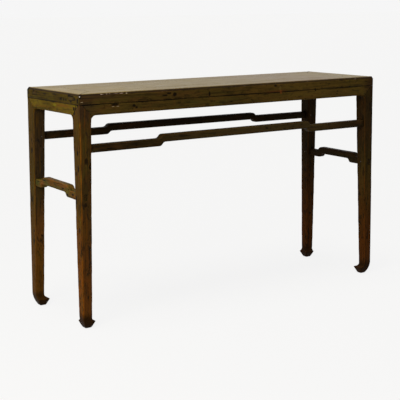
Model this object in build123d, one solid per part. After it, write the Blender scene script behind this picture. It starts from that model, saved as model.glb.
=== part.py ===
from math import atan2, degrees
from build123d import *
import os

os.makedirs("parts", exist_ok=True)

# A waistless corner-leg altar table in lacquered elm.
# Millimetres, +Z up, origin on the floor under the middle of the top.
# +X runs along the length, the front is on the -Y side.
# "Corner coordinates" measure inwards from the front-left outer corner: u along X, v along Y.

# Overall size
table_length = 1402.0
table_depth = 414.0
table_height = 850.0

# Top frame: two long rails and two end members, mitred at the corners
frame_height = 39.5
frame_width = 88.0
top_edge_radius = 11.0
corner_radius = 2.5
frame_tenon_thickness = 13.0
frame_tenon_setback = 42.0
frame_tenon_margin = 6.0

# Floating panel of two boards, tongued into the frame and into each other
board_thickness = 16.0
board_gap = 0.4
tongue_thickness = 7.0
tongue_length = 9.0
tongue_drop = 7.0
tongue_room = 0.8
seam_tongue = 6.0

# Dovetailed braces under the panel
brace_count = 4
brace_width = 26.0
brace_height = 19.0
dovetail_depth = 5.0
dovetail_neck = 15.0
dovetail_flare = 2.0
brace_tenon_length = 18.0
brace_tenon_width = 12.0
brace_tenon_height = 12.0

# Aprons, flush under the frame, mitred into the legs through a thin face
apron_height = 38.3
apron_thickness = 22.0
mitre_face = 10.0
mitre_land = 1.0
spandrel_radius = 17.0
apron_tenon_length = 14.0
apron_tenon_thickness = 8.0
apron_tenon_height = 22.0
apron_tongue_thickness = 6.0
apron_tongue_height = 5.0
apron_tongue_end_gap = 24.0

# Legs: outer faces splayed a little, inner faces tapering to a square ankle and a hoof foot
leg_front_width = 47.5
leg_side_width = 54.5
leg_splay = 2.0
ankle_width = 34.0
hoof_flare_radius = 15.2
hoof_tip_height = 23.5
hoof_tip_lip = 3.5
hoof_pad_outer = 14.5
hoof_pad_inner = 38.0
toe_curve_height = 52.0
leg_tenon_long = 13.0
leg_tenon_wide = 13.0
leg_tenon_edge = 2.5
leg_tenon_top_gap = 1.5

# Humpback stretchers, square in section, a little uneven as made by hand.
# A shoulder's place is the middle of its S-curve, measured from the stretcher's middle.
# Left and right, the top line's shoulders and the underside's are at different places.
stretcher_size = 29.0
stretcher_edge_radius = 3.0
front_hump_half = 358.0
back_hump_half = 368.0
long_shoulder_shift = 6.0
long_shoulder_run = 26.0
left_top_front = 98.0
left_top_back = 108.0
left_under_front = 81.0
left_under_back = 113.0
right_top_front = 128.0
right_top_back = 103.0
right_under_front = 95.0
right_under_back = 88.0
side_top_run = 30.0
side_under_run = 24.0
front_hump_rise = 15.0
back_hump_rise = 12.7
side_hump_rise = 15.8
front_stretcher_height = 639.0
back_stretcher_height = 648.0
back_stretcher_fall = 5.5
left_stretcher_height = 467.2
left_stretcher_climb = 6.0
right_stretcher_height = 472.5
right_stretcher_climb = 1.5
long_stretcher_inset = 6.0
side_stretcher_inset = 3.0
stretcher_tenon_thickness = 10.0
stretcher_tenon_shoulder = 3.5
stretcher_tenon_length = 28.0
stretcher_tenon_root = 1.0

# Bamboo pegs and the fits of the joints
peg_radius = 2.5
frame_peg_radius = 3.0
frame_peg_inset = 10.0
peg_cover = 6.0
front_apron_peg_share = 0.25
side_apron_peg_share = 0.75
joint_clearance = 0.15
peg_clearance = 0.1

# Levels and places that follow from the sizes above
half_length = table_length / 2
half_depth = table_depth / 2
frame_bottom = table_height - frame_height
apron_bottom = frame_bottom - apron_height
board_bottom = table_height - board_thickness
tongue_top = table_height - tongue_drop
tongue_bottom = tongue_top - tongue_thickness
panel_half_length = half_length - frame_width
panel_half_depth = half_depth - frame_width
tenon_bottom = frame_bottom + (frame_height - frame_tenon_thickness) / 2
tenon_top = tenon_bottom + frame_tenon_thickness
tenon_far = frame_width - frame_tenon_margin
mitre_top = mitre_face + mitre_land
leg_tenon_height = tenon_bottom - frame_bottom - leg_tenon_top_gap
apron_tenon_bottom = apron_bottom + (apron_height - apron_tenon_height) / 2
flare_start = hoof_tip_height + hoof_tip_lip + hoof_flare_radius
tip_width = ankle_width + hoof_flare_radius


def span(x0, x1, y0, y1, z0, z1):
    """A box between two opposite corners."""
    middle = Pos((x0 + x1) / 2, (y0 + y1) / 2, (z0 + z1) / 2)
    return middle * Box(x1 - x0, y1 - y0, z1 - z0)


def swapped(shape):
    """The same shape with u and v exchanged."""
    return mirror(shape, about=Plane(origin=(0, 0, 0), z_dir=(1, -1, 0)))


def at_corner(shape, right, back):
    """Move a shape from corner coordinates to one of the table's four corners."""
    placed = Pos(-half_length, -half_depth, 0) * shape
    if right:
        placed = mirror(placed, about=Plane.YZ)
    if back:
        placed = mirror(placed, about=Plane.XZ)
    return placed


CORNERS = {
    "front_left": (False, False),
    "front_right": (True, False),
    "back_left": (False, True),
    "back_right": (True, True),
}


def at_all_corners(shape):
    return [at_corner(shape, right, back) for right, back in CORNERS.values()]


def upright(points_face, thickness, start):
    """A face drawn in (X, Z), given thickness along +Y from the plane Y = start."""
    return Pos(0, start, 0) * extrude(Plane.XZ * points_face, amount=thickness, dir=(0, 1, 0))


# ---- Legs -------------------------------------------------------------------------------


def leg_width_at(height, width):
    """Width of a leg at a height, tapering from its top width down to the ankle."""
    return ankle_width + (width - ankle_width) * (height - flare_start) / (apron_bottom - flare_start)


def leg_view(width):
    """Outline of a leg below the apron, in (u, Z): splayed outside, tapered inside, hoof foot."""
    lip_top = hoof_tip_height + hoof_tip_lip
    outline = [
        Line((0, apron_bottom), (-leg_splay, toe_curve_height)),
        TangentArc(
            (-leg_splay, toe_curve_height),
            (hoof_pad_outer, 0),
            tangent=(-leg_splay, toe_curve_height - apron_bottom),
        ),
        Line((hoof_pad_outer, 0), (hoof_pad_inner, 0)),
        Line((hoof_pad_inner, 0), (tip_width, hoof_tip_height)),
        Line((tip_width, hoof_tip_height), (tip_width, lip_top)),
        TangentArc((ankle_width, flare_start), (tip_width, lip_top), tangent=(0, -1)),
        Line((ankle_width, flare_start), (width, apron_bottom)),
        Line((width, apron_bottom), (0, apron_bottom)),
    ]
    return make_face(outline)


def mitred_face(width):
    """The thin face of a leg beside an apron of its own height, cut to the mitre line."""
    face = Polygon(
        (0, apron_bottom),
        (width, apron_bottom),
        (mitre_top, frame_bottom),
        (0, frame_bottom),
        align=None,
    )
    return upright(face, mitre_face, 0)


def leg_blank():
    """A leg without mortises, in corner coordinates."""
    outside = 2 * leg_splay
    reach = outside + leg_side_width + hoof_flare_radius
    front_slab = upright(leg_view(leg_front_width), reach, -outside)
    side_slab = swapped(upright(leg_view(leg_side_width), reach, -outside))
    core = span(
        mitre_face, leg_front_width, mitre_face, leg_side_width, apron_bottom, frame_bottom
    )
    blank = front_slab & side_slab
    blank += core + mitred_face(leg_front_width) + swapped(mitred_face(leg_side_width))
    outer_arris = [
        edge
        for edge in blank.edges()
        if abs(edge.center().X - edge.center().Y) < 0.01 and edge.center().X < hoof_pad_outer / 2
    ]
    return fillet(outer_arris, corner_radius)


def outside_face():
    """The space outside a leg's splayed front face, in corner coordinates."""
    wedge = Polygon(
        (0, apron_bottom),
        (-leg_splay, toe_curve_height),
        (-2 * leg_splay, toe_curve_height),
        (-2 * leg_splay, apron_bottom),
        align=None,
    )
    return swapped(upright(wedge, leg_front_width, 0))


def spandrel_corner(width):
    """The point on the spandrel's curve where the mitre line leaves it, in (u, Z)."""
    line = Vector(width - mitre_top, -apron_height).normalized()
    start = Vector(width, apron_bottom)
    to_centre = Vector(spandrel_radius, -spandrel_radius)
    along = to_centre.dot(line)
    off = (to_centre - line * along).length
    return start + line * (along - (spandrel_radius**2 - off**2) ** 0.5)


def spandrel(width, leg_side):
    """Half of the curved bracket between leg and apron, split along the mitre line."""
    corner = spandrel_corner(width)
    centre = Vector(width + spandrel_radius, apron_bottom - spandrel_radius)
    root = Vector(width, apron_bottom)
    end = Vector(width, centre.Y) if leg_side else Vector(centre.X, apron_bottom)
    halfway = (corner - centre).normalized() + (end - centre).normalized()
    curve = ThreePointArc(corner, centre + halfway.normalized() * spandrel_radius, end)
    if leg_side:
        heel = Vector(ankle_width, centre.Y)
        back = Vector(ankle_width, apron_bottom)
        sides = [Line(end, heel), Line(heel, back), Line(back, root), Line(root, corner)]
    else:
        sides = [Line(end, root), Line(root, corner)]
    return upright(make_face([curve] + sides), apron_thickness, 0)


def leg_top_tenon(width, clearance):
    """The tenon on a leg's top that enters the rail; its swapped twin enters the end member."""
    u1 = width - leg_tenon_edge
    v0 = mitre_face + leg_tenon_edge
    return span(
        u1 - leg_tenon_long - clearance,
        u1 + clearance,
        v0 - clearance,
        v0 + leg_tenon_wide + clearance,
        frame_bottom,
        frame_bottom + leg_tenon_height + clearance,
    )


def apron_tenon(width, clearance):
    """The stub tenon behind the mitred face, at the left end of an apron along u."""
    v0 = (mitre_face + apron_thickness - apron_tenon_thickness) / 2
    return span(
        width - apron_tenon_length - clearance,
        width,
        v0 - clearance,
        v0 + apron_tenon_thickness + clearance,
        apron_tenon_bottom - clearance,
        apron_tenon_bottom + apron_tenon_height + clearance,
    )


def long_tenon(height, clearance):
    """Blind tenon of a front or back stretcher, in corner coordinates."""
    v0 = long_stretcher_inset + (stretcher_size - stretcher_tenon_thickness) / 2
    inner = leg_width_at(height + stretcher_size / 2, leg_front_width)
    return span(
        inner - stretcher_tenon_length - clearance,
        inner + stretcher_tenon_root,
        v0 - clearance,
        v0 + stretcher_tenon_thickness + clearance,
        height + stretcher_tenon_shoulder - clearance,
        height + stretcher_size - stretcher_tenon_shoulder + clearance,
    )


def side_tenon(height, clearance):
    """Through tenon of a left or right stretcher, before it is cut flush with the leg."""
    u0 = side_stretcher_inset + (stretcher_size - stretcher_tenon_thickness) / 2
    inner = leg_width_at(height + stretcher_size / 2, leg_side_width)
    return span(
        u0 - clearance,
        u0 + stretcher_tenon_thickness + clearance,
        -leg_splay,
        inner + stretcher_tenon_root,
        height + stretcher_tenon_shoulder - clearance,
        height + stretcher_size - stretcher_tenon_shoulder + clearance,
    )


def pin(radius, start, direction, length):
    """A round peg from a start point along a direction."""
    return extrude(Plane(origin=start, z_dir=direction) * Circle(radius), amount=length)


def long_stretcher_peg(height, clearance):
    """Peg across a long stretcher's tenon, driven from the leg's inner face."""
    middle = height + stretcher_size / 2
    u = leg_width_at(middle, leg_front_width) - stretcher_tenon_length / 2
    depth = leg_side_width - peg_cover
    return pin(peg_radius + clearance, (u, peg_cover, middle), (0, 1, 0), depth)


def side_stretcher_peg(height, clearance):
    """Peg across a side stretcher's tenon, driven from the leg's inner face."""
    middle = height + stretcher_size / 2
    v = leg_width_at(middle, leg_side_width) / 2
    depth = leg_front_width - peg_cover
    return pin(peg_radius + clearance, (peg_cover, v, middle), (1, 0, 0), depth)


def apron_peg(width, depth, height_share, clearance):
    """Peg across the stub tenon of an apron along u, driven from the leg's inner face."""
    u = width - apron_tenon_length / 2
    height = apron_tenon_bottom + apron_tenon_height * height_share
    start = mitre_face + peg_clearance
    return pin(peg_radius + clearance, (u, start, height), (0, 1, 0), depth - start)


def front_apron_peg(clearance):
    return apron_peg(leg_front_width, leg_side_width, front_apron_peg_share, clearance)


def side_apron_peg(clearance):
    return swapped(apron_peg(leg_side_width, leg_front_width, side_apron_peg_share, clearance))


plain_leg = leg_blank()
outside_leg = outside_face()


def leg(long_height, side_height):
    """One leg with its tenons and mortises, in corner coordinates."""
    body = plain_leg + spandrel(leg_front_width, True) + swapped(spandrel(leg_side_width, True))
    body += leg_top_tenon(leg_front_width, 0)
    body += swapped(leg_top_tenon(leg_side_width, 0))
    body -= apron_tenon(leg_front_width, joint_clearance)
    body -= swapped(apron_tenon(leg_side_width, joint_clearance))
    body -= long_tenon(long_height, joint_clearance)
    body -= side_tenon(side_height, joint_clearance)
    body -= long_stretcher_peg(long_height, peg_clearance)
    body -= side_stretcher_peg(side_height, peg_clearance)
    body -= front_apron_peg(peg_clearance)
    body -= side_apron_peg(peg_clearance)
    return body


# ---- Aprons -----------------------------------------------------------------------------


def apron(length, width, peg_bore):
    """An apron in corner coordinates, lying along u between legs of this width."""
    middle = length / 2
    face = Polygon(
        (mitre_top, frame_bottom),
        (width, apron_bottom),
        (middle, apron_bottom),
        (middle, frame_bottom),
        align=None,
    )
    half = upright(face, mitre_face, 0)
    half += span(width, middle, mitre_face, apron_thickness, apron_bottom, frame_bottom)
    half += spandrel(width, False)
    half += apron_tenon(width, 0)
    tongue_front = (apron_thickness - apron_tongue_thickness) / 2
    half += span(
        width + apron_tongue_end_gap,
        middle,
        tongue_front,
        tongue_front + apron_tongue_thickness,
        frame_bottom,
        frame_bottom + apron_tongue_height,
    )
    half -= peg_bore
    return half + mirror(half, about=Plane(origin=(middle, 0, 0), z_dir=(1, 0, 0)))


def apron_groove(length, width):
    """The groove under a frame member that takes an apron's tongue, in corner coordinates."""
    start = width + apron_tongue_end_gap - joint_clearance
    tongue_front = (apron_thickness - apron_tongue_thickness) / 2 - joint_clearance
    return span(
        start,
        length - start,
        tongue_front,
        tongue_front + apron_tongue_thickness + 2 * joint_clearance,
        frame_bottom,
        frame_bottom + apron_tongue_height + joint_clearance,
    )


# ---- Humpback stretchers ----------------------------------------------------------------


def hump_line(reach, shoulders, run, rise, height):
    """One long edge of a stretcher: low ends, an S-curved shoulder at each, a raised middle."""
    line = []
    for side, place in zip((-1, 1), shoulders):
        outer = (side * (place + run / 2), height)
        halfway = (side * place, height + rise / 2)
        inner = (side * (place - run / 2), height + rise)
        line.append(Line((side * reach, height), outer))
        line.append(TangentArc(outer, halfway, tangent=(-side, 0)))
        line.append(TangentArc(inner, halfway, tangent=(side, 0)))
    start = -shoulders[0] + run / 2
    end = shoulders[1] - run / 2
    return line + [Line((start, height + rise), (end, height + rise))]


def humpback_bar(reach, top_line, underside, rise, ends):
    """A stretcher's bar along X, its front face on Y = 0, with softened edges.

    The lines are pairs of shoulder places and a run. The ends are the underside's heights
    at the bar's two ends, and the bar tips to join them.
    """
    height = sum(ends) / 2
    top = height + stretcher_size
    outline = hump_line(reach, underside[0], underside[1], rise, height)
    outline += hump_line(reach, top_line[0], top_line[1], rise, top)
    outline += [Line((side * reach, height), (side * reach, top)) for side in (-1, 1)]
    bar = upright(make_face(outline), stretcher_size, 0)
    long_edges = [
        edge
        for edge in bar.edges()
        if abs(edge.center().X) < reach - 0.01 and abs(edge.center().Y - stretcher_size / 2) > 1
    ]
    bar = fillet(long_edges, stretcher_edge_radius)
    fall = degrees(atan2(ends[0] - ends[1], 2 * reach))
    return Pos(0, 0, height) * Rot(0, fall, 0) * Pos(0, 0, -height) * bar


def turned_along_y(bar):
    return Rot(0, 0, 90) * bar


# ---- Top frame and panel ----------------------------------------------------------------


def rail_section(inward_half):
    """Cross-section of a frame member in (across, Z), its outer top edge rounded."""
    face = Pos(-inward_half + frame_width / 2, frame_bottom + frame_height / 2) * Rectangle(
        frame_width, frame_height
    )
    outer_top = face.vertices().group_by(Axis.Y)[-1].sort_by(Axis.X)[0]
    return fillet(outer_top, top_edge_radius)


def mitred_member(length, inward_half):
    """A frame member along X on the -Y side, mitred at both ends."""
    bar = extrude(Plane.YZ.offset(-length / 2) * rail_section(inward_half), amount=length)
    half = length / 2
    plan = Polygon(
        (-half, -inward_half),
        (half, -inward_half),
        (half - frame_width, -inward_half + frame_width),
        (-half + frame_width, -inward_half + frame_width),
        align=None,
    )
    return bar & (Pos(0, 0, frame_bottom) * extrude(plan, amount=frame_height))


def frame_tenon(clearance):
    """Through tenon of the front rail's left end, in corner coordinates."""
    return span(
        0,
        frame_width,
        frame_tenon_setback - clearance,
        tenon_far + clearance,
        tenon_bottom - clearance,
        tenon_top + clearance,
    )


def frame_peg(clearance):
    """Upright peg through the end member and the rail's tenon, from below."""
    u = apron_thickness + frame_peg_inset
    v = (frame_tenon_setback + tenon_far) / 2
    return pin(frame_peg_radius + clearance, (u, v, frame_bottom), (0, 0, 1), frame_height - peg_cover)


def brace_places():
    step = 2 * panel_half_length / (brace_count + 1)
    return [-panel_half_length + step * (index + 1) for index in range(brace_count)]


def dovetail(clearance):
    """The dovetailed ridge on a brace, along Y at X = 0."""
    low = dovetail_neck / 2 + clearance
    high = low + dovetail_flare
    ridge = Polygon(
        (-low, board_bottom),
        (low, board_bottom),
        (high, board_bottom + dovetail_depth + clearance),
        (-high, board_bottom + dovetail_depth + clearance),
        align=None,
    )
    return upright(ridge, 2 * panel_half_depth, -panel_half_depth)


def brace_tenons(clearance):
    """Both end tenons of a brace at X = 0 as one bar."""
    reach = panel_half_depth + brace_tenon_length + clearance
    centre = board_bottom - brace_height / 2
    return span(
        -brace_tenon_width / 2 - clearance,
        brace_tenon_width / 2 + clearance,
        -reach,
        reach,
        centre - brace_tenon_height / 2 - clearance,
        centre + brace_tenon_height / 2 + clearance,
    )


def brace():
    body = span(
        -brace_width / 2,
        brace_width / 2,
        -panel_half_depth,
        panel_half_depth,
        board_bottom - brace_height,
        board_bottom,
    )
    return body + dovetail(0) + brace_tenons(0)


def panel_groove():
    """The groove round the inside of the frame that takes the boards' tongues."""
    reach_x = panel_half_length + tongue_length + tongue_room
    reach_y = panel_half_depth + tongue_length + tongue_room
    top = tongue_top + joint_clearance
    return span(-reach_x, reach_x, -reach_y, reach_y, tongue_bottom - joint_clearance, top)


def front_board():
    half_x = panel_half_length - board_gap
    edge = -panel_half_depth + board_gap
    board = span(-half_x, half_x, edge, 0, board_bottom, table_height)
    reach = panel_half_length + tongue_length
    board += span(-reach, reach, -panel_half_depth - tongue_length, 0, tongue_bottom, tongue_top)
    board += span(-reach, reach, 0, seam_tongue, tongue_bottom, tongue_top)
    return board


def back_board():
    half_x = panel_half_length - board_gap
    edge = panel_half_depth - board_gap
    board = span(-half_x, half_x, 0, edge, board_bottom, table_height)
    reach = panel_half_length + tongue_length
    board += span(-reach, reach, 0, panel_half_depth + tongue_length, tongue_bottom, tongue_top)
    groove_top = tongue_top + joint_clearance
    depth = seam_tongue + tongue_room
    board -= span(-reach, reach, 0, depth, tongue_bottom - joint_clearance, groove_top)
    return board


def trenched(board):
    for x in brace_places():
        board -= Pos(x, 0, 0) * dovetail(joint_clearance)
    return board


# ---- Put the table together -------------------------------------------------------------

nodes = {}

outer_plan = Pos(0, 0, frame_bottom) * extrude(
    RectangleRounded(table_length, table_depth, corner_radius), amount=frame_height
)
rail_tenons = [at_corner(frame_tenon(0), right, False) for right in (False, True)]
frame_mortises = at_all_corners(frame_tenon(joint_clearance))
peg_bores = at_all_corners(frame_peg(peg_clearance))
leg_mortises = at_all_corners(leg_top_tenon(leg_front_width, joint_clearance))
leg_mortises += at_all_corners(swapped(leg_top_tenon(leg_side_width, joint_clearance)))

front_rail = (mitred_member(table_length, half_depth) & outer_plan) + rail_tenons
front_rail -= panel_groove()
front_rail -= leg_mortises
front_rail -= peg_bores
front_rail -= at_corner(apron_groove(table_length, leg_front_width), False, False)
for x in brace_places():
    front_rail -= Pos(x, 0, 0) * brace_tenons(joint_clearance)
nodes["top_rail_front"] = front_rail
nodes["top_rail_back"] = mirror(front_rail, about=Plane.XZ)

left_end = Rot(0, 0, -90) * mitred_member(table_depth, half_length) & outer_plan
left_end -= frame_mortises
left_end -= panel_groove()
left_end -= leg_mortises
left_end -= peg_bores
left_end -= at_corner(swapped(apron_groove(table_depth, leg_side_width)), False, False)
nodes["top_end_left"] = left_end
nodes["top_end_right"] = mirror(left_end, about=Plane.YZ)

nodes["top_board_front"] = trenched(front_board())
nodes["top_board_back"] = trenched(back_board())
for index, x in enumerate(brace_places()):
    nodes[f"panel_brace_{index + 1}"] = Pos(x, 0, 0) * brace()

long_apron = apron(table_length, leg_front_width, front_apron_peg(peg_clearance))
side_apron = swapped(apron(table_depth, leg_side_width, swapped(side_apron_peg(peg_clearance))))
nodes["apron_front"] = at_corner(long_apron, False, False)
nodes["apron_back"] = at_corner(long_apron, False, True)
nodes["apron_left"] = at_corner(side_apron, False, False)
nodes["apron_right"] = at_corner(side_apron, True, False)

def long_height(right, back):
    """Height of a front or back stretcher's underside at a corner. The back one falls rightwards."""
    if not back:
        return front_stretcher_height
    return back_stretcher_height - (back_stretcher_fall if right else 0)


def side_height(right, back):
    """Height of an end stretcher's underside at a corner. Both rise backwards."""
    if right:
        return right_stretcher_height + (right_stretcher_climb if back else 0)
    return left_stretcher_height + (left_stretcher_climb if back else 0)


for name, (right, back) in CORNERS.items():
    body = leg(long_height(right, back), side_height(right, back))
    nodes["leg_" + name] = at_corner(body, right, back)

leg_blanks = at_all_corners(plain_leg)
long_reach = half_length - leg_front_width / 2
side_reach = half_depth - leg_side_width / 2
long_humps = {False: (front_hump_half, front_hump_rise), True: (back_hump_half, back_hump_rise)}
for name, back in (("front", False), ("back", True)):
    ends = [long_height(right, back) for right in (False, True)]
    hump_half, rise = long_humps[back]
    under_half = hump_half - long_shoulder_shift
    top_line = ((hump_half, hump_half), long_shoulder_run)
    underside = ((under_half, under_half), long_shoulder_run)
    bar = humpback_bar(long_reach, top_line, underside, rise, ends)
    inset = half_depth - long_stretcher_inset
    bar = Pos(0, inset - stretcher_size if back else -inset, 0) * bar
    bar -= leg_blanks
    for right, height in zip((False, True), ends):
        bar += at_corner(long_tenon(height, 0), right, back)
        bar -= at_corner(long_stretcher_peg(height, peg_clearance), right, back)
    nodes["stretcher_" + name] = bar
side_tops = {False: (left_top_front, left_top_back), True: (right_top_front, right_top_back)}
side_unders = {
    False: (left_under_front, left_under_back),
    True: (right_under_front, right_under_back),
}
for name, right in (("left", False), ("right", True)):
    ends = [side_height(right, back) for back in (False, True)]
    top_line = (side_tops[right], side_top_run)
    underside = (side_unders[right], side_under_run)
    bar = humpback_bar(side_reach, top_line, underside, side_hump_rise, ends)
    bar = Pos(-half_length + side_stretcher_inset + stretcher_size, 0, 0) * turned_along_y(bar)
    if right:
        bar = mirror(bar, about=Plane.YZ)
    bar -= leg_blanks
    for back, height in zip((False, True), ends):
        bar += at_corner(side_tenon(height, 0) - outside_leg, right, back)
        bar -= at_corner(side_stretcher_peg(height, peg_clearance), right, back)
    nodes["stretcher_" + name] = bar

stretcher_pegs = []
for right, back in CORNERS.values():
    pair = [
        long_stretcher_peg(long_height(right, back), 0),
        side_stretcher_peg(side_height(right, back), 0),
    ]
    stretcher_pegs += [at_corner(peg & plain_leg, right, back) for peg in pair]
nodes["stretcher_pegs"] = Compound(children=stretcher_pegs)
apron_pegs = at_all_corners(front_apron_peg(0)) + at_all_corners(side_apron_peg(0))
nodes["apron_pegs"] = Compound(children=apron_pegs)
nodes["frame_pegs"] = Compound(children=at_all_corners(frame_peg(0)))

for name, shape in nodes.items():
    export_step(shape, f"parts/{name}.step")
    print(name, "solids", len(shape.solids()))
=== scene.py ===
"""A waistless corner-leg altar table in worn brown lacquer on elm, dressed over its CAD frame."""

import math

import bmesh
import bpy
from mathutils import Matrix, Vector


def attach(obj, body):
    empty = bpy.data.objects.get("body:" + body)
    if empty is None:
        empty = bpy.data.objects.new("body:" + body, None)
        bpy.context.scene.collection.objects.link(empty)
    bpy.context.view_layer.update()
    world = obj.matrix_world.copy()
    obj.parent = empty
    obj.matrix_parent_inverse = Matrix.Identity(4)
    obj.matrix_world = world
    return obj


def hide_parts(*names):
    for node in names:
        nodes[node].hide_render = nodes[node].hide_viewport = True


MM = 0.001

# Where the camera stands and how it looks, in metres and degrees
CAMERA_PLACE = (-2.4837, -3.5097, 1.1794)
CAMERA_YAW = 34.772
CAMERA_PITCH = 8.571
CAMERA_ROLL = -0.286
CAMERA_LENS = 96.68
CAMERA_SENSOR = 36.0
CAMERA_RISE = -0.1
CAMERA_FAR = 200.0

# Backdrop and floor, nearly white
BACKDROP = "f6f6f6"
FLOOR_TONE = "969694"
FLOOR_GLOW = 1.103
FLOOR_GLOW_SHARE = 0.85
FLOOR_REACH = 60.0

# Light: a little from all round, a wide sun overhead, and a soft box off the front left corner
DAYLIGHT = "fffaf2"
FILL_STRENGTH = 0.12
SUN_DIRECTION = (-0.25, -0.1, 1.0)
SUN_STRENGTH = 2.6
SUN_SPREAD = 40
KEY_PLACE = (-2.7, -1.5, 2.0)
KEY_TARGET = (-0.2, 0, 0.55)
KEY_SIZE = 1.4
KEY_POWER = 75
KEY_TINT = "fff6e6"

# Worn surface, in metres: mesh cells, how far a joint keeps an arris tight, the deepest knock,
# the loss that counts as fully worn, and how deep a joint in the top is that lacquer bridges
VOXEL = 2.0 * MM
JOINT_REACH = 3.0 * MM
DENT_DEPTH = 0.35 * MM
FULL_WEAR = 1.2 * MM
BRIDGED_DEPTH = 2.4 * MM
TOP_LEVEL = 850 * MM

# Rubbing of the arrises, from 0 to 1, and how many times it is repeated
TIMBER_RUBBING = 0.35
BOARD_RUBBING = 0.15
RUBBING_ROUNDS = 7

# Unevenness of the rubbing and of the knocks, in waves per metre, and its shift between timbers
RUBBING_WAVES = 14.0
KNOCK_WAVES = 70.0
SEED_STEP = 3.7

# Share of a timber's faces that is kept once it is worn
KEPT_FACES = 0.35

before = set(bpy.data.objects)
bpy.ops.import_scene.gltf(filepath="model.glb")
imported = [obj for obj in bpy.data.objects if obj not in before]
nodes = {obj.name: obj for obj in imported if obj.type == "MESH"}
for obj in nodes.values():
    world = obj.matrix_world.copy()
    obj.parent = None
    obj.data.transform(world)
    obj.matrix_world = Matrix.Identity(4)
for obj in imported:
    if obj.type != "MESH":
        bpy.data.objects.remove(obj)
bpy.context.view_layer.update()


# ---- Colours and nodes ------------------------------------------------------------------


def linear(hex_colour):
    """A linear RGBA colour from an sRGB hex value."""
    channels = [int(hex_colour[i : i + 2], 16) / 255 for i in (0, 2, 4)]
    return [c / 12.92 if c <= 0.04045 else ((c + 0.055) / 1.055) ** 2.4 for c in channels] + [1.0]


def add(tree, kind, inputs=None, **settings):
    """Add a node. Inputs are values, nodes or outputs of nodes, by socket name or index."""
    made = tree.nodes.new(kind)
    for name, value in settings.items():
        setattr(made, name, value)
    for socket, value in (inputs or {}).items():
        open_inputs = {place.name: place for place in reversed(made.inputs) if place.enabled}
        socket = made.inputs[socket] if isinstance(socket, int) else open_inputs[socket]
        if isinstance(value, bpy.types.Node):
            value = next(output for output in value.outputs if output.enabled)
        if isinstance(value, bpy.types.NodeSocket):
            tree.links.new(value, socket)
        else:
            socket.default_value = value
    return made


# ---- Lacquered and bare wood ------------------------------------------------------------


def new_material(name):
    """A material with an empty node tree, and that tree."""
    material = bpy.data.materials.new(name)
    material.use_nodes = True
    material.node_tree.nodes.clear()
    return material, material.node_tree


def lengths(axis, along, across):
    """Sizes along X, Y and Z of a figure that runs along the timber's axis."""
    return [along if letter == axis else across for letter in "xyz"]


def figure(tree, size, detail=3.0, roughness=0.55, distortion=0.0):
    """Unevenness from 0 to 1 in wood or film, its blots this long in millimetres along X, Y, Z."""
    place = add(tree, "ShaderNodeTexCoord").outputs["Object"]
    scale = [1 / (length * MM) for length in size]
    stretched = add(tree, "ShaderNodeMapping", {"Vector": place, "Scale": scale})
    ways = {"Scale": 1.0, "Detail": detail, "Roughness": roughness, "Distortion": distortion}
    return add(tree, "ShaderNodeTexNoise", {"Vector": stretched, **ways})


def reach_of(tree, centre, size, ragged):
    """Distance from a stain's centre in its own half sizes, in millimetres, with a ragged rim."""
    place = add(tree, "ShaderNodeTexCoord").outputs["Object"]
    shift = [-middle / half for middle, half in zip(centre, size)]
    scale = [1 / (half * MM) for half in size]
    local = add(tree, "ShaderNodeMapping", {"Vector": place, "Location": shift, "Scale": scale})
    reach = add(tree, "ShaderNodeVectorMath", {0: local}, operation="LENGTH")
    return add(tree, "ShaderNodeMath", {0: reach.outputs["Value"], 1: ragged}, operation="ADD")


def cover_of(tree, most, ranges):
    """How much a coat hides. Each range is a value, where the coat starts and where it is full."""
    for value, start, full in ranges:
        ends = {"Value": value, "From Min": start, "From Max": full, "To Max": most}
        most = add(tree, "ShaderNodeMapRange", ends, interpolation_type="SMOOTHSTEP")
    return most


def coated(tree, colour, coats):
    """Lay coats over a colour, each with its tone, the most that it hides, and its ranges. Inputs
    6 and 7 of the mixing node are its two colours."""
    for tone, most, *ranges in coats:
        cover = cover_of(tree, most, ranges)
        colours = {0: cover, 6: colour, 7: linear(tone)}
        colour = add(tree, "ShaderNodeMix", colours, data_type="RGBA")
    return colour


# Tones of the lacquer: pooled, body, olive drift, warm drift, rubbed through
BROWN = ("181107", "433514", "403815", "4a3416", "6a3a14")
APRON_BROWN = ("181107", "463815", "443b17", "4c3616", "6c3c14")
DARK_GOLD = ("120d03", "413404", "483d06", "483208", "70430f")
GOLDEN = ("140e03", "584809", "64560e", "62400f", "784a10")
SADDLE = ("140d04", "463306", "4e410a", "583409", "74400a")
BACK_SADDLE = ("140f05", "453407", "4c400a", "4c330a", "58360d")
# Right legs: dusky brown, darker than the left legs' tones, partly as painted shade of the side
# farther from the light
DUSKY_AND_SHADED = ("0e0904", "2c200c", "34290d", "3b250c", "522c0a")
UMBER = ("0d0905", "261b0a", "2e270e", "38230e", "4c2b0e")
HONEY = ("1a1206", "504318", "585416", "643e14", "7c5322")

# Tones of cracks, of the rim under the top's edge, of the feet, and of the painted shade on a leg's
# front
CRACK = "070402"
RIM = "1d130f"
FOOT = "201304"
PAINTED_LEG_SHADE = "28201b"

# Tones of the polished top, a painted reflection of the pale surroundings: pale, dark, and warm,
# dull and rosy drifts in it
PAINTED_SHEEN_PALE = "7e6c31"
PAINTED_SHEEN_DARK = "6a5825"
PAINTED_SHEEN_WARM = "73562c"
PAINTED_SHEEN_DULL = "615122"
PAINTED_SHEEN_ROSY = "665030"

# Tones of small marks
STAIN = "070403"
SOOT = "120c05"
KNOT = "1a1107"
OLIVE_STAIN = "1c1407"
RED_WOOD = "6c3c18"
CHIP = "8f7c70"
FRESH_CHIP = "a08d7c"
DUSTY_CHIP = "8f8068"

# Tones of broad patches
SHADE = "2b2219"
TENON_END = "1a130a"

# Heights in metres where a band begins and where it is full: the dark feet, the rubbed lower
# legs, the rim under the top's edge and the polished top, whose reflection is painted on
FOOT_BAND = (0.068, 0.038)
LEG_BAND = (0.54, 0.12)
RIM_BAND = (0.8405, 0.8440)
POLISH_AND_SHEEN_BAND = (0.8478, 0.8493)

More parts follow.
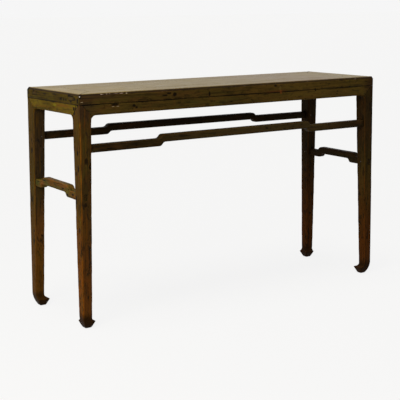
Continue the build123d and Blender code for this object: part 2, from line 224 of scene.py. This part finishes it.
# Joint between frame and apron in metres: its height, how far from it the dark line begins and
# is full, and how much the line wanders
SEAM_HEIGHT = 0.8105
SEAM_LINE = (2.8 * MM, 1.3 * MM)
SEAM_WANDER = 4 * MM

# Distance from the centre, in half sizes plus unevenness, where a patch or a mark begins and is full
PATCH_RIM = (1.6, 0.7)
MARK_RIM = (1.5, 1.15)

# Specular level and index of the lacquer: an old film reflects little at a steep view
SHEEN = 0.02
REFRACTION = 1.5

# Relief in millimetres of the grain and of brush marks, and of splits, which are sunk
GRAIN_RELIEF = 0.05
BRUSH_RELIEF = 0.18
SPLIT_RELIEF = -0.45


def lacquer(name, axis, tones, spots=(), patches=(), legs=False, front_shade=(0.0, 0.0, 1.0)):
    """Worn brown lacquer brushed on elm. The film is satin and nearly opaque, with the open grain
    showing through it, darker where it pooled, rubbed to red-brown on the arrises, cracked over
    the joints and polished on the top, where a pale reflection is painted on as its colour. Spots
    are small marks and patches broad ones. The last argument gives the most that painted shade hides
    on a leg's front, and the heights where it starts and is full.
    """
    material, tree = new_material(name)
    deep, body, olive, warm, rubbed = tones
    place = add(tree, "ShaderNodeTexCoord").outputs["Object"]
    along, _, height = add(tree, "ShaderNodeSeparateXYZ", {0: place}).outputs
    facing = add(tree, "ShaderNodeNewGeometry").outputs["Normal"]
    facing = add(tree, "ShaderNodeSeparateXYZ", {0: facing}).outputs

    # Figures of film and wood, as long along and across the timber as given in millimetres
    pools = figure(tree, lengths(axis, 190, 60), 4.0, 0.62, 0.5)
    drifts = figure(tree, lengths(axis, 120, 45), 3.0, 0.6, 0.8)
    blots = figure(tree, lengths(axis, 46, 17), 4.0, 0.65, 0.9)
    streaks = figure(tree, lengths(axis, 170, 5), 3.0, 0.6, 0.5)
    fine = figure(tree, lengths(axis, 45, 1.4), 2.0, 0.6)
    checks = figure(tree, lengths(axis, 80, 2.6), 3.0, 0.55, 0.3)
    flecks = figure(tree, lengths(axis, 9, 3), 2.0, 0.5)
    pits = figure(tree, lengths(axis, 17, 9), 2.0, 0.5)
    ragged = figure(tree, (3, 3, 3), 2.0)
    wear = add(tree, "ShaderNodeAttribute", attribute_name="wear").outputs["Fac"]
    joint = add(tree, "ShaderNodeAttribute", attribute_name="joint").outputs["Fac"]

    # The film from one pooled coat to the next, then the wood that shows through it
    coats = [
        (deep, 0.6, (pools, 0.45, 0.68)),
        (olive, 0.8, (drifts, 0.52, 0.66)),
        (warm, 0.75, (drifts, 0.48, 0.34)),
    ]
    for centre, size, tone, most in patches:
        coats += [(tone, most, (reach_of(tree, centre, size, drifts), *PATCH_RIM))]
    if legs:
        shade_most, shade_start, shade_full = front_shade
        coats += [
            (rubbed, 0.9, (height, *LEG_BAND), (blots, 0.28, 0.54)),
            (deep, 0.85, (blots, 0.46, 0.34)),
            # Painted shade: the front face of a leg is darkened between the given heights
            (PAINTED_LEG_SHADE, shade_most, (facing["Y"], -0.5, -0.9), (height, shade_start, shade_full)),
        ]
    cracked = (checks, 0.66, 0.71), (blots, 0.46, 0.56)
    coats += [
        (deep, 0.3 if legs else 0.6, (blots, 0.54, 0.66)),
        (warm, 0.6, (streaks, 0.5, 0.66)),
        (deep, 0.5, (streaks, 0.48, 0.34)),
        (deep, 0.45, (fine, 0.52, 0.7)),
        (CRACK, 0.85, *cracked),
        (CRACK, 0.8, (flecks, 0.68, 0.74), (pools, 0.3, 0.8)),
        (CRACK, 0.85, (pits, 0.64, 0.70), (pools, 0.38, 0.56)),
        (rubbed, 0.75 if legs else 0.4, (wear, 0.25, 0.8), (drifts, 0.38, 0.6)),
        (CRACK, 0.6, (joint, 0.35, 0.8), (drifts, 0.3, 0.6)),
        (FOOT, 0.9, (height, *FOOT_BAND), (drifts, 1.1, 0.4)),
    ]

    # The joint between frame and apron, a line that wanders and breaks
    if not legs:
        offset = {0: height, 1: SEAM_HEIGHT + SEAM_WANDER / 2}
        offset = add(tree, "ShaderNodeMath", offset, operation="SUBTRACT")
        wander = {0: streaks, 1: SEAM_WANDER, 2: offset}
        wander = add(tree, "ShaderNodeMath", wander, operation="MULTIPLY_ADD")
        from_seam = add(tree, "ShaderNodeMath", {0: wander}, operation="ABSOLUTE")
        line = (from_seam, *SEAM_LINE), (pools, 0.32, 0.54), (along, 0.9, 0.3)
        coats += [(CRACK, 0.95, *line)]

    # The dark rim under the top's edge, and its small losses
    rim = (height, *RIM_BAND)
    coats += [(RIM, 0.75, rim), (CHIP, 0.6, rim, (flecks, 0.66, 0.69), (pools, 0.52, 0.6))]
    colour = coated(tree, linear(body), coats)

    # The polished top, with its pale reflection of the surroundings painted on as its colour
    polish_and_painted_sheen = cover_of(tree, 1.0, [(height, *POLISH_AND_SHEEN_BAND), (facing["Z"], 0.72, 0.9)])
    painted_sheen = [
        (PAINTED_SHEEN_DARK, 1.0, (pools, 0.3, 0.7)),
        (PAINTED_SHEEN_WARM, 0.3, (streaks, 0.5, 0.7)),
        (PAINTED_SHEEN_DULL, 0.4, (along, -0.62, -0.25)),
        (PAINTED_SHEEN_ROSY, 0.55, (along, 0.0, 0.3), (along, 0.62, 0.45)),
        (RIM, 0.35, (joint, 0.6, 0.95)),
        (RIM, 0.85, (wear, 0.3, 0.6), (joint, 0.3, 0.0)),
    ]
    painted_sheen = coated(tree, linear(PAINTED_SHEEN_PALE), painted_sheen)
    cover = cover_of(tree, 0.92, [(polish_and_painted_sheen, 0.0, 1.0)])
    colour = add(tree, "ShaderNodeMix", {0: cover, 6: colour, 7: painted_sheen}, data_type="RGBA")

    # Small marks, over everything
    marks = []
    for centre, size, tone in spots:
        marks += [(tone, 0.9, (reach_of(tree, centre, size, ragged), *MARK_RIM))]
    colour = coated(tree, colour, marks)

    # Gloss and relief
    satin = {"Value": pools, "From Min": 0.3, "From Max": 0.7, "To Min": 0.42, "To Max": 0.55}
    satin = add(tree, "ShaderNodeMapRange", satin)
    smooth = {"Value": drifts, "From Min": 0.3, "From Max": 0.7, "To Min": 0.26, "To Max": 0.34}
    smooth = add(tree, "ShaderNodeMapRange", smooth)
    gloss = add(tree, "ShaderNodeMix", {0: polish_and_painted_sheen, 2: satin, 3: smooth}, data_type="FLOAT")
    film = add(tree, "ShaderNodeMapRange", {"Value": polish_and_painted_sheen, "To Min": 1.0, "To Max": 0.3})
    split = cover_of(tree, 1.0, cracked)
    relief = None
    for shape, depth in ((fine, GRAIN_RELIEF), (blots, BRUSH_RELIEF), (split, SPLIT_RELIEF)):
        bump = {"Height": shape, "Strength": film, "Distance": depth * MM}
        if relief:
            bump["Normal"] = relief
        relief = add(tree, "ShaderNodeBump", bump)
    shader = {"Base Color": colour, "Roughness": gloss, "Normal": relief}
    shader |= {"IOR": REFRACTION, "Specular IOR Level": SHEEN}
    shader = add(tree, "ShaderNodeBsdfPrincipled", shader)
    add(tree, "ShaderNodeOutputMaterial", {"Surface": shader})
    return material


# Spots give a centre and a half size along X, Y, Z in millimetres, and a tone

# A nail at the front left corner: its dark ring, and a pale dot on it that is a painted glint
NAIL_WITH_PAINTED_GLINT = [
    ((-699, -205, 841), (7.5, 7.5, 7.5), STAIN),
    ((-700.5, -206.5, 841.5), (2.6, 2.6, 2.6), "e6ddd0"),
]

# The back left corner, knocked and blackened
BLACK_CORNER = [((-700, 203, 843), (8, 15, 12), "080a07"), ((-701, 196, 829), (4, 7, 7), STAIN)]

# Chips, knots and stains of the front rail
RAIL_SPOTS = [
    ((-611, -207, 846.2), (10, 4, 2.3), FRESH_CHIP),
    ((-590, -207, 846.6), (7, 4, 2.2), FRESH_CHIP),
    ((-577, -207, 846.8), (7, 4, 2.2), CHIP),
    ((-551, -207, 846.4), (18, 4, 1.6), CHIP),
    ((-530, -207, 845.4), (11, 4, 1.7), CHIP),
    ((-509, -207, 844.5), (4.5, 4, 1.8), "a3937a"),
    ((-691, -207, 821.5), (6, 4, 1.8), "8c7c60"),
    ((-652, -207, 810.5), (52, 4, 2.6), STAIN),
    ((-572, -207, 811.0), (38, 4, 2.0), SOOT),
    ((-346, -207, 827.0), (15, 4, 4), STAIN),
    ((-302, -207, 829.0), (10, 4, 8), STAIN),
    ((-327, -207, 834.0), (12, 4, 4), STAIN),
    ((-145, -207, 822.0), (5, 4, 11), STAIN),
    ((173, -207, 837.0), (9, 4, 5), STAIN),
    ((180, -207, 813.5), (60, 4, 4.0), "4f3014"),
    ((201, -207, 814.3), (7, 4, 4.5), RED_WOOD),
    ((197, -207, 826), (5, 4, 9), "5a4a24"),
    ((381, -207, 812.9), (4, 4, 4), STAIN),
    ((620, -145, 850), (6, 10, 3), "9d8d72"),
    ((612, -118, 850), (4, 9, 3), "8f7f64"),
    ((688, -206, 849), (12, 3, 1.8), "6b5d4c"),
]

# Knots and dashes of the front apron
APRON_SPOTS = [
    ((-652, -207, 810.5), (52, 4, 2.6), STAIN),
    ((-558, -207, 806), (19, 4, 5), STAIN),
    ((-565, -207, 799.6), (6, 4, 1.1), DUSTY_CHIP),
    ((-546, -207, 799.2), (7, 4, 1.1), DUSTY_CHIP),
    ((-479, -207, 798.0), (8, 4, 6), STAIN),
    ((-468, -207, 791.0), (6, 4, 5), STAIN),
    ((201, -207, 807), (6, 4, 3.5), RED_WOOD),
    ((381, -207, 807), (4, 4, 3), STAIN),
    ((500, -207, 798.4), (5, 4, 3), STAIN),
]

# Worm holes and dark losses of the left end, near the front
END_SPOTS = [
    ((-701, -69, 825), (4, 11, 5), STAIN),
    ((-701, -90, 824), (4, 8, 5), STAIN),
    ((-701, -107, 823.8), (4, 8, 4.5), STAIN),
    ((-701, -142, 824.5), (4, 12, 6), STAIN),
    ((-701, -132, 841), (4, 14, 7), STAIN),
    ((-701, -154, 837), (4, 14, 6), STAIN),
    ((-701, -168, 831), (4, 10, 7), SOOT),
    ((-701, -194, 826), (4, 6, 11), STAIN),
    ((-701, 150, 839), (4, 6, 10), OLIVE_STAIN),
    ((-701, -19, 838), (4, 24, 3.5), OLIVE_STAIN),
    ((-701, 60, 834), (4, 16, 4), OLIVE_STAIN),
]

# Losses along the mitre at the left end
MITRE_SPOTS = [
    ((-701, -165, 795.4), (4, 8, 9), STAIN),
    ((-701, -193, 812), (4, 5, 9), STAIN),
    ((-701, -178, 799), (4, 5, 10), SOOT),
    ((-701, -169, 782), (4, 5, 11), SOOT),
    ((-701, -19, 799.7), (4, 14, 7), "655c0c"),
]

# Worm holes and dark losses of the front left leg
LEG_SPOTS = [
    ((-701, -186, 640), (4, 6, 12), STAIN),
    ((-701, -190, 585), (4, 6, 16), STAIN),
    ((-701, -176, 566), (4, 5, 9), SOOT),
    ((-701, -174, 470), (4, 5, 22), SOOT),
    ((-701, -192, 362), (4, 5, 14), STAIN),
    ((-700, -188, 250), (4, 6, 18), SOOT),
    ((-679, -207, 612), (9, 4, 13), KNOT),
    ((-664, -207, 590), (6, 4, 10), SOOT),
    ((-685, -207, 455), (9, 4, 11), KNOT),
    ((-662, -207, 330), (6, 4, 16), SOOT),
]

# Worm holes and dark losses of the back left leg, on its left face and its inner face
BACK_LEG_SPOTS = [
    ((-692, 152, 545), (9, 8, 13), STAIN),
    ((-688, 152, 300), (9, 8, 11), STAIN),
    ((-701, 178, 610), (4, 7, 14), SOOT),
    ((-701, 190, 420), (4, 6, 16), SOOT),
    ((-700, 176, 300), (4, 6, 12), STAIN),
]

# Losses at the shoulder of the left stretcher
BAR_SPOTS = [
    ((-699, -127, 512), (6, 9, 8), STAIN),
    ((-699, -106, 502), (6, 9, 7), STAIN),
    ((-699, -95, 478), (6, 10, 6), STAIN),
    ((-699, -137, 484), (6, 9, 6), SOOT),
    ((-699, -60, 497), (6, 12, 3), SOOT),
    ((-699, 88, 505), (6, 16, 3), SOOT),
]

# Patches give a centre, a half size, a tone and the most that it hides

# The front of frame and apron, paler in the middle and darker at its ends
FRONT_PATCHES = [
    ((430, -207, 815), (620, 60, 80), "66501f", 0.42),
    ((-690, -207, 800), (75, 60, 70), SHADE, 0.6),
    ((-660, -207, 838), (160, 40, 20), "2d1d17", 0.65),
    ((705, -207, 815), (70, 60, 80), "2d1a0f", 0.8),
]

# The left stretcher's dark tenon ends, and its olive and rubbed low part at the back
BAR_PATCHES = [
    ((-690, -212, 485), (60, 14, 40), TENON_END, 0.95),
    ((-690, 212, 485), (60, 14, 40), TENON_END, 0.95),
    ((-698, 150, 492), (40, 34, 30), "3c4012", 0.7),
    ((-698, 105, 492), (40, 24, 30), "70441a", 0.7),
]

# The shaded head of the front left leg
CORNER_PATCH = [((-690, -215, 790), (45, 30, 55), SHADE, 0.6)]

# Rubbed places: low inside the back left leg, the middle of the front right leg's face, and the
# hump of the front stretcher
BACK_LEG_PATCHES = [((-672, 158, 200), (50, 22, 300), "845220", 0.9)]
RIGHT_LEG_PATCHES = [((676, -207, 380), (80, 60, 220), "4c3e14", 0.5)]
BRIGHT_BAR_PATCHES = [((90, -205, 660), (620, 200, 200), "40341b", 0.9)]

finishes = {
    "rail": lacquer(
        "Worn brown lacquer on elm, grain along the length",
        "x",
        BROWN,
        NAIL_WITH_PAINTED_GLINT + RAIL_SPOTS + BLACK_CORNER,
        FRONT_PATCHES,
    ),
    "apron": lacquer(
        "Worn brown lacquer on elm aprons, grain along the length",
        "x",
        APRON_BROWN,
        APRON_SPOTS,
        FRONT_PATCHES,
    ),
    "end": lacquer(
        "Worn dark golden lacquer on elm, grain along the depth",
        "y",
        DARK_GOLD,
        NAIL_WITH_PAINTED_GLINT + END_SPOTS + BLACK_CORNER,
    ),
    "end apron": lacquer(
        "Worn golden lacquer on elm aprons, grain along the depth",
        "y",
        GOLDEN,
        MITRE_SPOTS,
    ),
    "front left leg": lacquer(
        "Worn saddle-brown lacquer on an elm leg",
        "z",
        SADDLE,
        MITRE_SPOTS + LEG_SPOTS,
        CORNER_PATCH,
        legs=True,
        # Painted shade over the whole front
        front_shade=(0.45, -2.0, -1.0),
    ),
    "back left leg": lacquer(
        "Worn golden-brown lacquer on an elm leg",
        "z",
        BACK_SADDLE,
        BACK_LEG_SPOTS,
        BACK_LEG_PATCHES,
        legs=True,
        # Painted shade on the upper front, under the top
        front_shade=(0.7, 0.15, 0.5),
    ),
    # The right legs are painted darker, partly as shade
    "right leg": lacquer(
        "Worn dusky brown lacquer on elm legs",
        "z",
        DUSKY_AND_SHADED,
        patches=RIGHT_LEG_PATCHES,
        legs=True,
    ),
    "front bar": lacquer(
        "Umber lacquer on an elm stretcher, rubbed in the middle",
        "x",
        UMBER,
        patches=BRIGHT_BAR_PATCHES,
    ),
    "long bar": lacquer("Dark umber lacquer on an elm stretcher", "x", UMBER),
    "short bar": lacquer(
        "Honey-brown rubbed lacquer on an elm stretcher",
        "y",
        HONEY,
        BAR_SPOTS,
        BAR_PATCHES,
    ),
    "dark bar": lacquer("Umber lacquer on an elm stretcher across the depth", "y", UMBER),
}


def plain_wood(name, axis, dark, light, grain):
    """Bare wood, planed and aged: matt, with dark growth lines along the timber."""
    material, tree = new_material(name)
    lines = figure(tree, lengths(axis, 140, grain), 4.0, 0.6, 0.3)
    colour = coated(tree, linear(dark), [(light, 1.0, (lines, 0.35, 0.65))])
    relief = {"Height": lines, "Strength": 0.5, "Distance": 0.15 * MM}
    relief = add(tree, "ShaderNodeBump", relief)
    shader = {"Base Color": colour, "Roughness": 0.62, "Normal": relief}
    shader = add(tree, "ShaderNodeBsdfPrincipled", shader)
    add(tree, "ShaderNodeOutputMaterial", {"Surface": shader})
    return material


finishes["brace"] = plain_wood("Bare aged elm", "y", "5a3f22", "8a6a41", 3.0)
finishes["peg"] = plain_wood("Split bamboo, darkened", "z", "1d1409", "3a2a13", 0.8)


# ---- Worn timber ------------------------------------------------------------------------


def merged_copy(name, sources):
    """One welded mesh object made from copies of CAD nodes."""
    bm = bmesh.new()
    for source in sources:
        bm.from_mesh(nodes[source].data)
    bmesh.ops.remove_doubles(bm, verts=bm.verts, dist=0.01 * MM)
    mesh = bpy.data.meshes.new(name)
    bm.to_mesh(mesh)
    bm.free()
    made = bpy.data.objects.new(name, mesh)
    bpy.context.scene.collection.objects.link(made)
    return made


def flushed(tree, geometry, place, joint):
    """Bring points beside a joint in the top up level with it, as the lacquer bridges it."""
    level = add(tree, "ShaderNodeSeparateXYZ", {"Vector": place}).outputs["Z"]
    near_top = {"A": level, "B": TOP_LEVEL - BRIDGED_DEPTH}
    near_top = add(tree, "FunctionNodeCompare", near_top, operation="GREATER_THAN")
    beside = add(tree, "FunctionNodeCompare", {"A": joint, "B": 0.02}, operation="GREATER_THAN")
    both = add(tree, "FunctionNodeBooleanMath", {0: near_top, 1: beside}, operation="AND")
    rise = add(tree, "ShaderNodeMath", {0: TOP_LEVEL, 1: level}, operation="SUBTRACT")
    lift = add(tree, "ShaderNodeCombineXYZ", {"Z": rise})
    lifted = {"Geometry": geometry, "Selection": both, "Offset": lift}
    return add(tree, "GeometryNodeSetPosition", lifted)


def wear_tree():
    """Node tree that rubs and dents the free arrises of a timber and leaves its joints tight.
    It keeps how near each point is to a joint and how much wood it lost."""
    tree = bpy.data.node_groups.new("Worn timber", "GeometryNodeTree")
    sockets = {"Geometry": "Geometry", "Neighbours": "Object"}
    sockets |= {name: "Float" for name in ("Joint reach", "Rubbing", "Dent depth", "Seed")}
    sockets["Finish"] = "Material"
    for name, kind in sockets.items():
        tree.interface.new_socket(name, in_out="INPUT", socket_type="NodeSocket" + kind)
    tree.interface.new_socket("Geometry", in_out="OUTPUT", socket_type="NodeSocketGeometry")
    given = add(tree, "NodeGroupInput").outputs
    place = add(tree, "GeometryNodeInputPosition")
    normal = add(tree, "GeometryNodeInputNormal")

    # Nearness to a joint, from 0 to 1
    neighbours = add(tree, "GeometryNodeObjectInfo", {"Object": given["Neighbours"]})
    near = {"Geometry": neighbours.outputs["Geometry"]}
    near = add(tree, "GeometryNodeProximity", near, target_element="FACES").outputs["Distance"]
    near = {"Value": near, "From Min": given["Joint reach"], "From Max": 0.0}
    joint = add(tree, "ShaderNodeMapRange", near)
    kept = {"Geometry": given["Geometry"], "Name": "joint", "Value": joint}
    kept = add(tree, "GeometryNodeStoreNamedAttribute", kept, data_type="FLOAT")
    kept = {"Geometry": kept, "Name": "drawn", "Value": place}
    kept = add(tree, "GeometryNodeStoreNamedAttribute", kept, data_type="FLOAT_VECTOR")
    joint = add(tree, "GeometryNodeInputNamedAttribute", {"Name": "joint"}, data_type="FLOAT")
    free = {"Value": joint, "From Max": 0.6, "To Min": 1.0, "To Max": 0.0}
    free = add(tree, "ShaderNodeMapRange", free)

    # Arrises rubbed by hands and cloths, more in some places than others
    seeded = add(tree, "ShaderNodeVectorMath", {0: place, 1: given["Seed"]}, operation="ADD")
    handling = {"Vector": seeded, "Scale": RUBBING_WAVES, "Detail": 4.0, "Roughness": 0.7}
    handling = add(tree, "ShaderNodeTexNoise", handling)
    handling = {"Value": handling, "From Min": 0.35, "From Max": 0.65, "To Min": 0.35}
    handling = add(tree, "ShaderNodeMapRange", handling)
    weight = add(tree, "ShaderNodeMath", {0: handling, 1: given["Rubbing"]}, operation="MULTIPLY")
    weight = add(tree, "ShaderNodeMath", {0: weight, 1: free}, operation="MULTIPLY")
    rubbed = {"Value": place, "Iterations": RUBBING_ROUNDS, "Weight": weight}
    rubbed = add(tree, "GeometryNodeBlurAttribute", rubbed, data_type="FLOAT_VECTOR")
    shape = add(tree, "GeometryNodeSetPosition", {"Geometry": kept, "Position": rubbed})
    shape = flushed(tree, shape, place, joint)

    # Small knocks
    knocks = {"Vector": seeded, "Scale": KNOCK_WAVES, "Detail": 2.0, "Roughness": 0.5}
    knocks = add(tree, "ShaderNodeTexNoise", knocks)
    dent = {"Value": knocks, "From Min": 0.62, "From Max": 0.78, "To Max": given["Dent depth"]}
    dent = add(tree, "ShaderNodeMapRange", dent)
    dent = add(tree, "ShaderNodeMath", {0: dent, 1: free}, operation="MULTIPLY")
    dent = add(tree, "ShaderNodeMath", {0: dent, 1: -1.0}, operation="MULTIPLY")
    push = add(tree, "ShaderNodeVectorMath", {"Vector": normal, "Scale": dent}, operation="SCALE")
    shape = add(tree, "GeometryNodeSetPosition", {"Geometry": shape, "Offset": push})

    # How much wood is gone, from 0 to 1
    drawn = {"Name": "drawn"}
    drawn = add(tree, "GeometryNodeInputNamedAttribute", drawn, data_type="FLOAT_VECTOR")
    lost = add(tree, "ShaderNodeVectorMath", {0: place, 1: drawn}, operation="DISTANCE")
    lost = lost.outputs["Value"]
    wear = add(tree, "ShaderNodeMapRange", {"Value": lost, "From Max": FULL_WEAR})
    shape = {"Geometry": shape, "Name": "wear", "Value": wear}
    shape = add(tree, "GeometryNodeStoreNamedAttribute", shape, data_type="FLOAT")
    shape = add(tree, "GeometryNodeRemoveAttribute", {"Geometry": shape, "Name": "drawn"})
    shape = add(tree, "GeometryNodeSetShadeSmooth", {"Geometry": shape})
    shape = add(tree, "GeometryNodeRealizeInstances", {"Geometry": shape})
    shape = add(tree, "GeometryNodeSetMaterial", {"Geometry": shape, "Material": given["Finish"]})
    add(tree, "NodeGroupOutput", {"Geometry": shape})
    return tree


def set_inputs(modifier, values):
    """Set a tree's named inputs on its modifier."""
    sockets = modifier.node_group.interface.items_tree
    sockets = {item.name: item.identifier for item in sockets if item.in_out == "INPUT"}
    for name, value in values.items():
        modifier[sockets[name]] = value


def worn_timber(node, tree, finish, rubbing, seed):
    """A timber of its CAD shape, with rubbed arrises and small knocks."""
    shape = merged_copy(node + "_worn", [node])
    others = [name for name in nodes if name != node and not name.endswith("_pegs")]
    neighbours = merged_copy("neighbours", others)
    remesh = shape.modifiers.new("remesh", "REMESH")
    remesh.mode = "VOXEL"
    remesh.voxel_size = VOXEL
    remesh.use_smooth_shade = True
    wrap = shape.modifiers.new("wrap", "SHRINKWRAP")
    wrap.target = nodes[node]
    wrap.wrap_method = "NEAREST_SURFACEPOINT"
    wear = shape.modifiers.new("wear", "NODES")
    wear.node_group = tree
    set_inputs(wear, {"Neighbours": neighbours, "Joint reach": JOINT_REACH, "Rubbing": rubbing})
    set_inputs(wear, {"Dent depth": DENT_DEPTH, "Seed": seed, "Finish": finish})
    lighter = shape.modifiers.new("lighter", "DECIMATE")
    lighter.ratio = KEPT_FACES
    evaluated = shape.evaluated_get(bpy.context.evaluated_depsgraph_get())
    mesh = bpy.data.meshes.new_from_object(evaluated)
    shape.modifiers.clear()
    shape.data = mesh
    bpy.data.objects.remove(neighbours)
    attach(shape, "root")
    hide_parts(node)
    return shape


# Finish of each timber that isn't a long rail or a board of the top
dressed = {
    "leg_front_left": "front left leg",
    "leg_back_left": "back left leg",
    "leg_front_right": "right leg",
    "leg_back_right": "right leg",
    "apron_front": "apron",
    "apron_back": "apron",
    "apron_left": "end apron",
    "apron_right": "end apron",
    "top_end_left": "end",
    "top_end_right": "end",
    "stretcher_front": "front bar",
    "stretcher_back": "long bar",
    "stretcher_left": "short bar",
    "stretcher_right": "dark bar",
}
worn = wear_tree()
for index, name in enumerate(sorted(nodes)):
    pegs = name.endswith("_pegs")
    if pegs or name.startswith("panel_brace"):
        nodes[name].data.materials.clear()
        nodes[name].data.materials.append(finishes["peg" if pegs else "brace"])
        continue
    board = name.startswith("top_board")
    finish = finishes[dressed.get(name, "rail")]
    rubbing = BOARD_RUBBING if board else TIMBER_RUBBING
    piece = worn_timber(name, worn, finish, rubbing, SEED_STEP * index)


# ---- Floor, light and camera ------------------------------------------------------------


def seen_directly(tree):
    """1 for camera, glossy and transmission rays, 0 for the light that falls on the table."""
    path = add(tree, "ShaderNodeLightPath").outputs
    seen = path["Is Camera Ray"]
    for ray in ("Is Glossy Ray", "Is Transmission Ray"):
        seen = add(tree, "ShaderNodeMath", {0: seen, 1: path[ray]}, operation="MAXIMUM")
    return seen


def build_floor():
    """A pale matt floor that reads nearly white and keeps a soft shadow."""
    material, tree = new_material("Pale studio floor")
    matt = {"Base Color": linear(FLOOR_TONE), "Roughness": 0.9}
    matt = add(tree, "ShaderNodeBsdfPrincipled", matt)
    glow = add(tree, "ShaderNodeEmission", {"Color": linear(BACKDROP), "Strength": FLOOR_GLOW})
    share = cover_of(tree, FLOOR_GLOW_SHARE, [(seen_directly(tree), 0.0, 1.0)])
    mixed = add(tree, "ShaderNodeMixShader", {0: share, 1: matt, 2: glow})
    add(tree, "ShaderNodeOutputMaterial", {"Surface": mixed})
    mesh = bpy.data.meshes.new("floor")
    signs = ((-1, -1), (1, -1), (1, 1), (-1, 1))
    corners = [(x * FLOOR_REACH, y * FLOOR_REACH, 0) for x, y in signs]
    mesh.from_pydata(corners, [], [(0, 1, 2, 3)])
    mesh.materials.append(material)
    floor = bpy.data.objects.new("floor", mesh)
    bpy.context.scene.collection.objects.link(floor)


def build_world():
    """A nearly white backdrop, and a much weaker fill for what lights the table."""
    world = bpy.data.worlds.new("Studio")
    world.use_nodes = True
    tree = world.node_tree
    tree.nodes.clear()
    backdrop = add(tree, "ShaderNodeBackground", {"Color": linear(BACKDROP), "Strength": 1.0})
    fill = {"Color": linear(DAYLIGHT), "Strength": FILL_STRENGTH}
    fill = add(tree, "ShaderNodeBackground", fill)
    mixed = add(tree, "ShaderNodeMixShader", {0: seen_directly(tree), 1: fill, 2: backdrop})
    add(tree, "ShaderNodeOutputWorld", {"Surface": mixed})
    bpy.context.scene.world = world


def soft_sun(name, direction, strength, spread):
    """Broad even light from a direction, as from a far wide scrim."""
    light = bpy.data.lights.new(name, "SUN")
    light.energy = strength
    light.angle = math.radians(spread)
    light.color = linear(DAYLIGHT)[:3]
    lamp = bpy.data.objects.new(name, light)
    lamp.rotation_euler = Vector(direction).to_track_quat("Z", "Y").to_euler()
    bpy.context.scene.collection.objects.link(lamp)


def softbox(name, place, target, size, power, tint):
    """A square soft box that faces its target."""
    light = bpy.data.lights.new(name, "AREA")
    light.shape = "SQUARE"
    light.size = size
    light.energy = power
    light.color = linear(tint)[:3]
    lamp = bpy.data.objects.new(name, light)
    lamp.location = place
    lamp.rotation_euler = (Vector(target) - Vector(place)).to_track_quat("-Z", "Y").to_euler()
    bpy.context.scene.collection.objects.link(lamp)


def build_camera():
    """The scene's camera: turned from +Y towards +X by its yaw, down by its pitch, then rolled."""
    yaw, pitch, roll = [math.radians(a) for a in (CAMERA_YAW, CAMERA_PITCH, CAMERA_ROLL)]
    reach = math.cos(pitch)
    ahead = Vector((math.sin(yaw) * reach, math.cos(yaw) * reach, -math.sin(pitch)))
    level = Vector((math.cos(yaw), -math.sin(yaw), 0))
    upright = level.cross(ahead)
    right = level * math.cos(roll) + upright * math.sin(roll)
    up = upright * math.cos(roll) - level * math.sin(roll)
    turn = Matrix((right, up, -ahead)).transposed()
    data = bpy.data.cameras.new("Camera")
    data.sensor_width = CAMERA_SENSOR
    data.lens = CAMERA_LENS
    data.shift_y = CAMERA_RISE
    data.clip_end = CAMERA_FAR
    camera = bpy.data.objects.new("Camera", data)
    camera.matrix_world = Matrix.Translation(CAMERA_PLACE) @ turn.to_4x4()
    bpy.context.scene.collection.objects.link(camera)
    bpy.context.scene.camera = camera


build_floor()
build_world()
soft_sun("overhead", SUN_DIRECTION, SUN_STRENGTH, SUN_SPREAD)
softbox("key", KEY_PLACE, KEY_TARGET, KEY_SIZE, KEY_POWER, KEY_TINT)
build_camera()
bpy.context.scene.view_settings.view_transform = "Standard"
